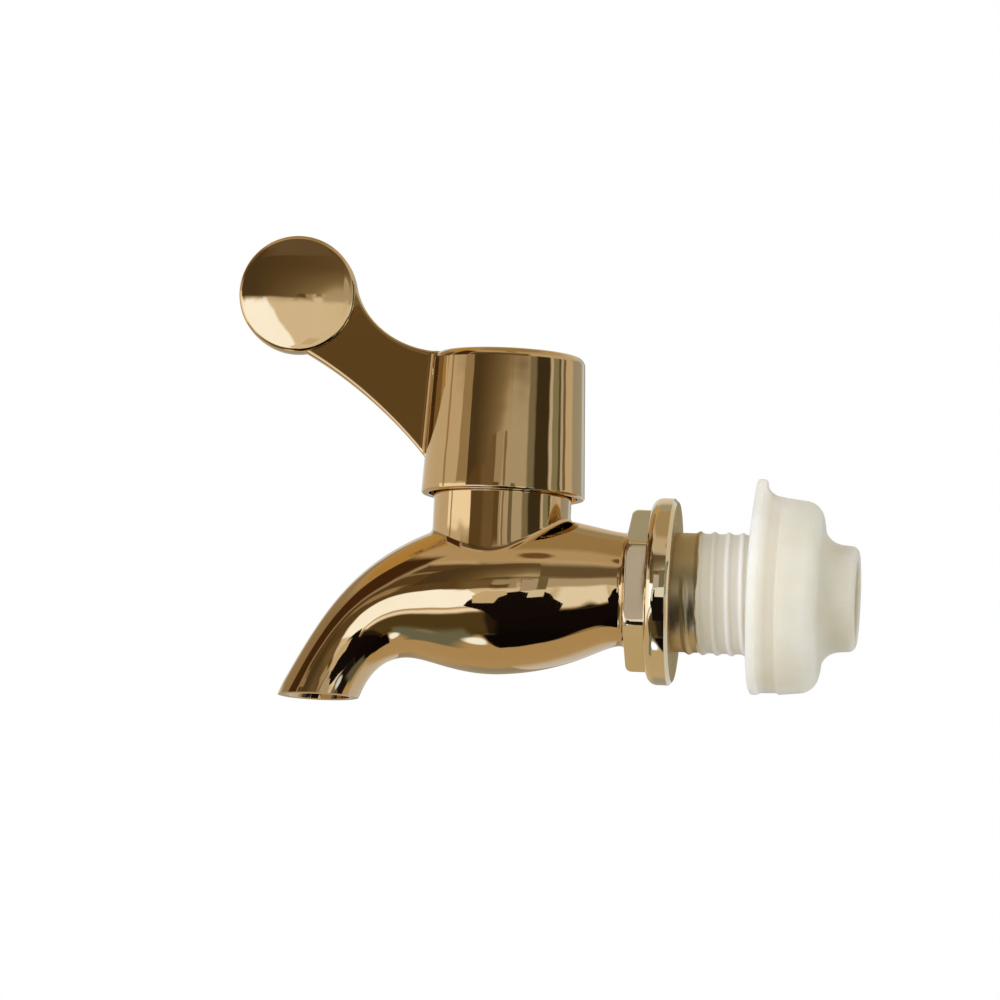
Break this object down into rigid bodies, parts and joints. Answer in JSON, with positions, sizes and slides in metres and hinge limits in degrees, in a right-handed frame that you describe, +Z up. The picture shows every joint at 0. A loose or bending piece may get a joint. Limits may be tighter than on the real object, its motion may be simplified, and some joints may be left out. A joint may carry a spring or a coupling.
{
  "type": "beverage dispenser spigot",
  "caption": "Plated plastic tap for a drink dispenser: lever on a round cap, curved spout, hex collar and flange, threaded shank with a white seal nut.",
  "frame": {"origin": "centre of the flange's seating face, on the shank's axis", "axes": "+X along the shank into the vessel, +Z up along the valve stem, the spout reaches towards -X"},
  "size_m": [0.0821, 0.0256, 0.0597],
  "materials": {
    "plated_body": "bright champagne gold plating on moulded plastic",
    "plated_lever": "bright champagne gold plating on moulded plastic",
    "seat_silicone": "smooth moulded silicone",
    "acetal": "smooth white acetal",
    "spring_steel": "bright spring steel",
    "o_ring_rubber": "greased black rubber",
    "milky_plastic": "milky translucent moulded plastic"
  },
  "bodies": {
    "body": {"spigot_body": "plated_body", "seat_sleeve": "seat_silicone", "thrust_washer": "acetal", "retaining_ring": "spring_steel"},
    "lever": {"lever_handle": "plated_lever", "valve_plug": "acetal", "lower_o_ring": "o_ring_rubber", "upper_o_ring": "o_ring_rubber"},
    "nut": {"seal_nut": "milky_plastic"}
  },
  "joints": [
    {"name": "lever_turn", "type": "hinge", "parent": "body", "child": "lever", "pos_m": [-0.023, 0, 0], "axis": [0, 0, 1], "range_deg": [0, 90]},
    {"name": "nut_travel", "type": "slide", "parent": "body", "child": "nut", "axis": [1, 0, 0], "range_m": [-0.0033, 0.0043]}
  ]
}
